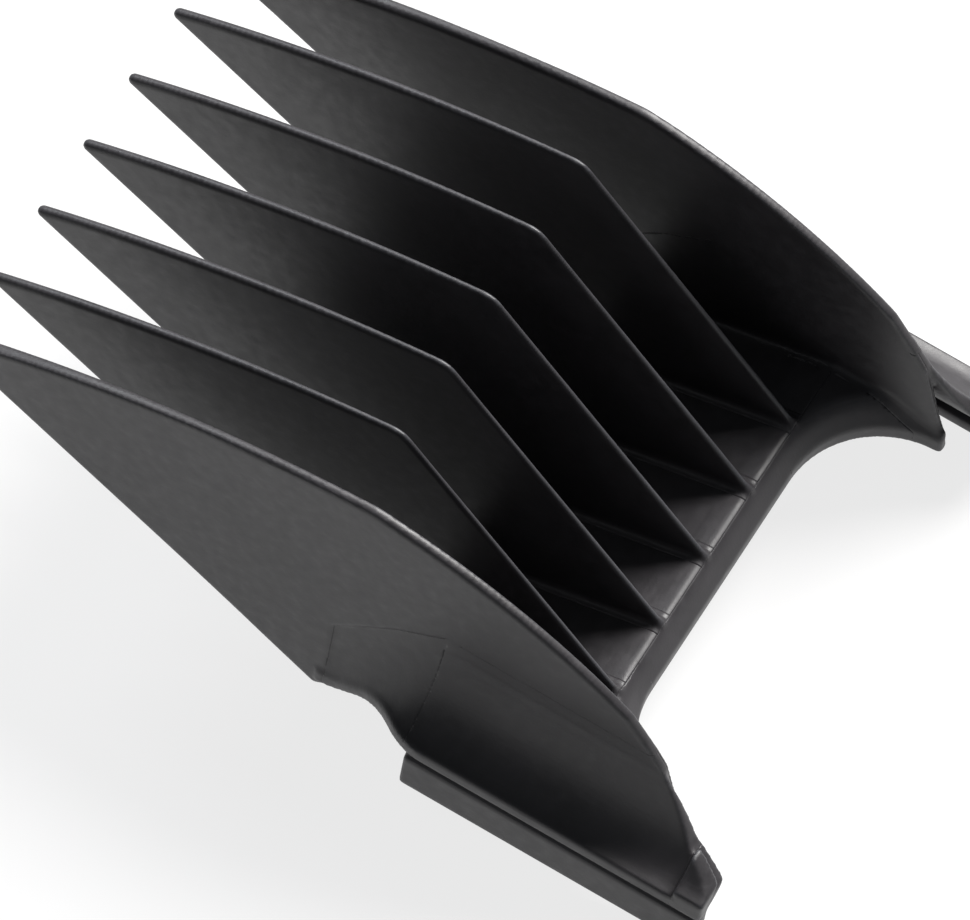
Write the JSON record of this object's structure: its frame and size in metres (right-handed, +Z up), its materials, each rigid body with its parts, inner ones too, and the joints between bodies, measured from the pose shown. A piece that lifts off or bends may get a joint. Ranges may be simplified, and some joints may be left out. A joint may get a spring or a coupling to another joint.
{
  "type": "hair clipper guide comb",
  "caption": "Black plastic slide-on guide comb for a hair clipper, with tall parallel teeth, a web with a U-shaped cutout, and two rail arms.",
  "frame": {"origin": "under the centre of the bounding box, on the surface that the comb rests on", "axes": "+Y from the tooth tips towards the arm ends, +Z up with the teeth's skin edges on top, +X across the teeth; the rails fall 6.3 degrees towards the rear in this resting pose"},
  "size_m": [0.0506, 0.068, 0.0318],
  "materials": {
    "comb_plastic": "satin black moulded"
  },
  "bodies": {
    "root": {"tooth_1": "comb_plastic", "tooth_2": "comb_plastic", "tooth_3": "comb_plastic", "tooth_4": "comb_plastic", "tooth_5": "comb_plastic", "web_panel_1": "comb_plastic", "web_panel_2": "comb_plastic", "web_panel_3": "comb_plastic", "web_panel_4": "comb_plastic", "web_panel_5": "comb_plastic", "web_panel_6": "comb_plastic", "rim_bar": "comb_plastic", "side_wall_right": "comb_plastic", "side_wall_left": "comb_plastic", "shoulder_right": "comb_plastic", "shoulder_left": "comb_plastic", "shoulder_nose_right": "comb_plastic", "shoulder_nose_left": "comb_plastic", "end_stop_right": "comb_plastic", "end_stop_left": "comb_plastic", "rail_right": "comb_plastic", "rail_left": "comb_plastic", "guide_rib_right": "comb_plastic", "guide_rib_left": "comb_plastic", "rim_corner_right": "comb_plastic", "rim_corner_left": "comb_plastic", "inner_wall_right": "comb_plastic", "inner_wall_left": "comb_plastic"}
  },
  "joints": []
}
